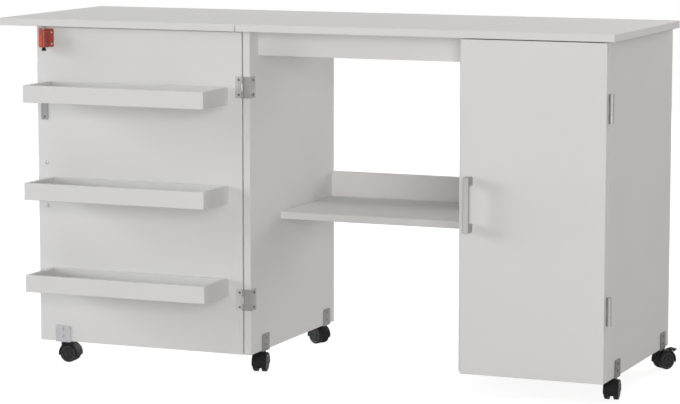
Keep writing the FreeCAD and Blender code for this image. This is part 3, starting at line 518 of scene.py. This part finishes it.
# Casters

RING_STEPS = 56
RIB_SHOULDER = 0.2 * MM           # rise of the rounded crown over the shoulders
SHOULDER_SHARE, CROWN_SHARE = 0.8, 0.35      # of half the rib's width
WHEEL_FACE = 16 * MM              # from a caster's middle to the outer face of a wheel
WHEEL_RIBS = (
    # radius, width, and foot and crown from the wheel's outer face
    (15.6 * MM, 1.7 * MM, -1.0 * MM, -0.1 * MM),
    (6.2 * MM, 1.4 * MM, -0.4 * MM, 0.4 * MM),
)


def turned_mesh(name, profile):
    """A closed profile of radii and heights, turned once round +Z."""
    mesh = bmesh.new()
    rings = [[mesh.verts.new((*on_circle(radius, step, RING_STEPS), height))
              for radius, height in profile] for step in range(RING_STEPS)]
    for step in range(RING_STEPS):
        near, far = rings[step], rings[(step + 1) % RING_STEPS]
        for corner in range(len(profile)):
            following = (corner + 1) % len(profile)
            face = mesh.faces.new((near[corner], far[corner], far[following], near[following]))
            face.smooth = True
    bmesh.ops.recalc_face_normals(mesh, faces=mesh.faces)
    made = bpy.data.meshes.new(name)
    mesh.to_mesh(made)
    mesh.free()
    return made


def rib_profile(radius, width, foot, crown):
    """Section of a moulded rib with rounded shoulders, between two heights."""
    half = width / 2
    outer = [(share * half, height) for share, height in
             ((CROWN_SHARE, crown), (SHOULDER_SHARE, crown - RIB_SHOULDER), (1, foot))]
    inner = [(-offset, height) for offset, height in reversed(outer)]
    return [(radius + offset, height) for offset, height in inner + outer]


def wheel_ribs():
    """Two moulded ribs, round the disc and round the hub, on each wheel's outer face."""
    ribs = [turned_mesh("rib", rib_profile(*rib)) for rib in WHEEL_RIBS]
    for joint in frame["joints"]:
        body = joint["child"]
        if not body.endswith("_wheels"):
            continue
        mesh = bmesh.new()
        for side in (-1, 1):
            outward = side * Vector(joint["axis"]).normalized()
            place = Vector(joint["pos_m"]) + WHEEL_FACE * outward
            for rib in ribs:
                add_moved(mesh, rib, Matrix.Translation(place) @ upright_to(outward))
        add_piece(f"{body}_ribs", mesh, body, "wheel_trim")
    for rib in ribs:
        bpy.data.meshes.remove(rib)


# Stage

WHITE = (1, 1, 1)
WORLD_TINT = (1.0, 0.972, 0.985)
WORLD_LIGHT = 0.20
FLOOR_RADIUS = 6
FLOOR_STEPS = 96
FLOOR_GLOW = 1.76
FLOOR_SHARE = 0.5         # share of the glow in what a camera or a reflection shows
LAMP_DISTANCE = 9
LAMP_TARGET = (0, 0, 0.4)
LAMPS = (
    # name, direction it stands in, width, level, colour
    ("key", (-0.95, -0.27, 0.22), 3.9, 0.71, (0.92, 0.975, 1.0)),
    ("front_fill", (0.42, -0.90, 0.08), 5, 0.56, (1.0, 0.965, 0.93)),
    ("back", (0.20, 0.90, 0.30), 5, 0.61, (1.0, 0.965, 0.935)),
    ("overhead", (0, 0, 1), 6, 0.16, WHITE),
)


def white_where_seen(tree, lit, glow, share_of_glow):
    """Mix a lit shader with a glowing one, for the rays that show it as a background."""
    path = tree.nodes.new("ShaderNodeLightPath")
    seen = path.outputs["Is Camera Ray"]
    for ray in ("Is Glossy Ray", "Is Transmission Ray"):
        either = tree.nodes.new("ShaderNodeMath")
        either.operation = "MAXIMUM"
        tree.links.new(seen, either.inputs[0])
        tree.links.new(path.outputs[ray], either.inputs[1])
        seen = either.outputs[0]
    share = tree.nodes.new("ShaderNodeMath")
    share.operation = "MULTIPLY"
    share.inputs[1].default_value = share_of_glow
    tree.links.new(seen, share.inputs[0])
    mix = tree.nodes.new("ShaderNodeMixShader")
    tree.links.new(share.outputs[0], mix.inputs["Fac"])
    tree.links.new(lit, mix.inputs[1])
    tree.links.new(glow, mix.inputs[2])
    return mix.outputs[0]


def make_world():
    """A dim even light, which a camera or a reflection sees as plain white."""
    world = bpy.data.worlds.new("studio")
    bpy.context.scene.world = world
    world.use_nodes = True
    tree = world.node_tree
    soft = tree.nodes["Background"]
    soft.inputs["Color"].default_value = (*WORLD_TINT, 1)
    soft.inputs["Strength"].default_value = WORLD_LIGHT
    plain = tree.nodes.new("ShaderNodeBackground")
    plain.inputs["Color"].default_value = (*WHITE, 1)
    plain.inputs["Strength"].default_value = 1
    shown = white_where_seen(tree, soft.outputs[0], plain.outputs[0], 1)
    tree.links.new(shown, tree.nodes["World Output"].inputs["Surface"])


def make_floor():
    """A pale disc that shows as white but keeps a faint shadow of the table."""
    mesh = bmesh.new()
    bmesh.ops.create_circle(mesh, cap_ends=True, segments=FLOOR_STEPS, radius=FLOOR_RADIUS)
    made = bpy.data.meshes.new("floor")
    mesh.to_mesh(made)
    mesh.free()
    floor = bpy.data.objects.new("floor", made)
    bpy.context.scene.collection.objects.link(floor)
    material = bpy.data.materials.new("floor")
    material.use_nodes = True
    tree = material.node_tree
    tree.nodes.remove(tree.nodes["Principled BSDF"])
    matt = tree.nodes.new("ShaderNodeBsdfDiffuse")
    matt.inputs["Color"].default_value = (*FLOOR_WHITE, 1)
    glow = tree.nodes.new("ShaderNodeEmission")
    glow.inputs["Strength"].default_value = FLOOR_GLOW
    shown = white_where_seen(tree, matt.outputs[0], glow.outputs[0], FLOOR_SHARE)
    tree.links.new(shown, tree.nodes["Material Output"].inputs["Surface"])
    made.materials.append(material)


def make_lamp(name, direction, width, level, colour):
    """A soft square lamp that adds a level to a white surface facing it."""
    data = bpy.data.lights.new(name, "AREA")
    data.shape = "SQUARE"
    data.size = width
    data.energy = level * math.pi ** 2 * LAMP_DISTANCE ** 2
    data.color = colour
    lamp = bpy.data.objects.new(name, data)
    bpy.context.scene.collection.objects.link(lamp)
    towards = Vector(direction).normalized()
    lamp.location = Vector(LAMP_TARGET) + LAMP_DISTANCE * towards
    lamp.rotation_euler = towards.to_track_quat("Z", "Y").to_euler()


def make_camera():
    data = bpy.data.cameras.new("camera")
    data.sensor_fit = "HORIZONTAL"
    data.sensor_width = SENSOR_WIDTH
    data.lens = CAMERA_FOCUS * SENSOR_WIDTH / PHOTO_WIDTH
    data.clip_end = CAMERA_REACH
    camera = bpy.data.objects.new("camera", data)
    bpy.context.scene.collection.objects.link(camera)
    camera.location = CAMERA_PLACE
    camera.rotation_euler = (math.radians(90 - CAMERA_DROP), 0, math.radians(CAMERA_TURN))
    bpy.context.scene.camera = camera


finish_nodes()
hinge_screws()
leaf_hinge_screws()
bracket_screws()
handle_screws()
latch_screws()
catch_screws()
wheel_ribs()
make_world()
make_floor()
for lamp in LAMPS:
    make_lamp(*lamp)
make_camera()
bpy.context.scene.view_settings.view_transform = "Standard"
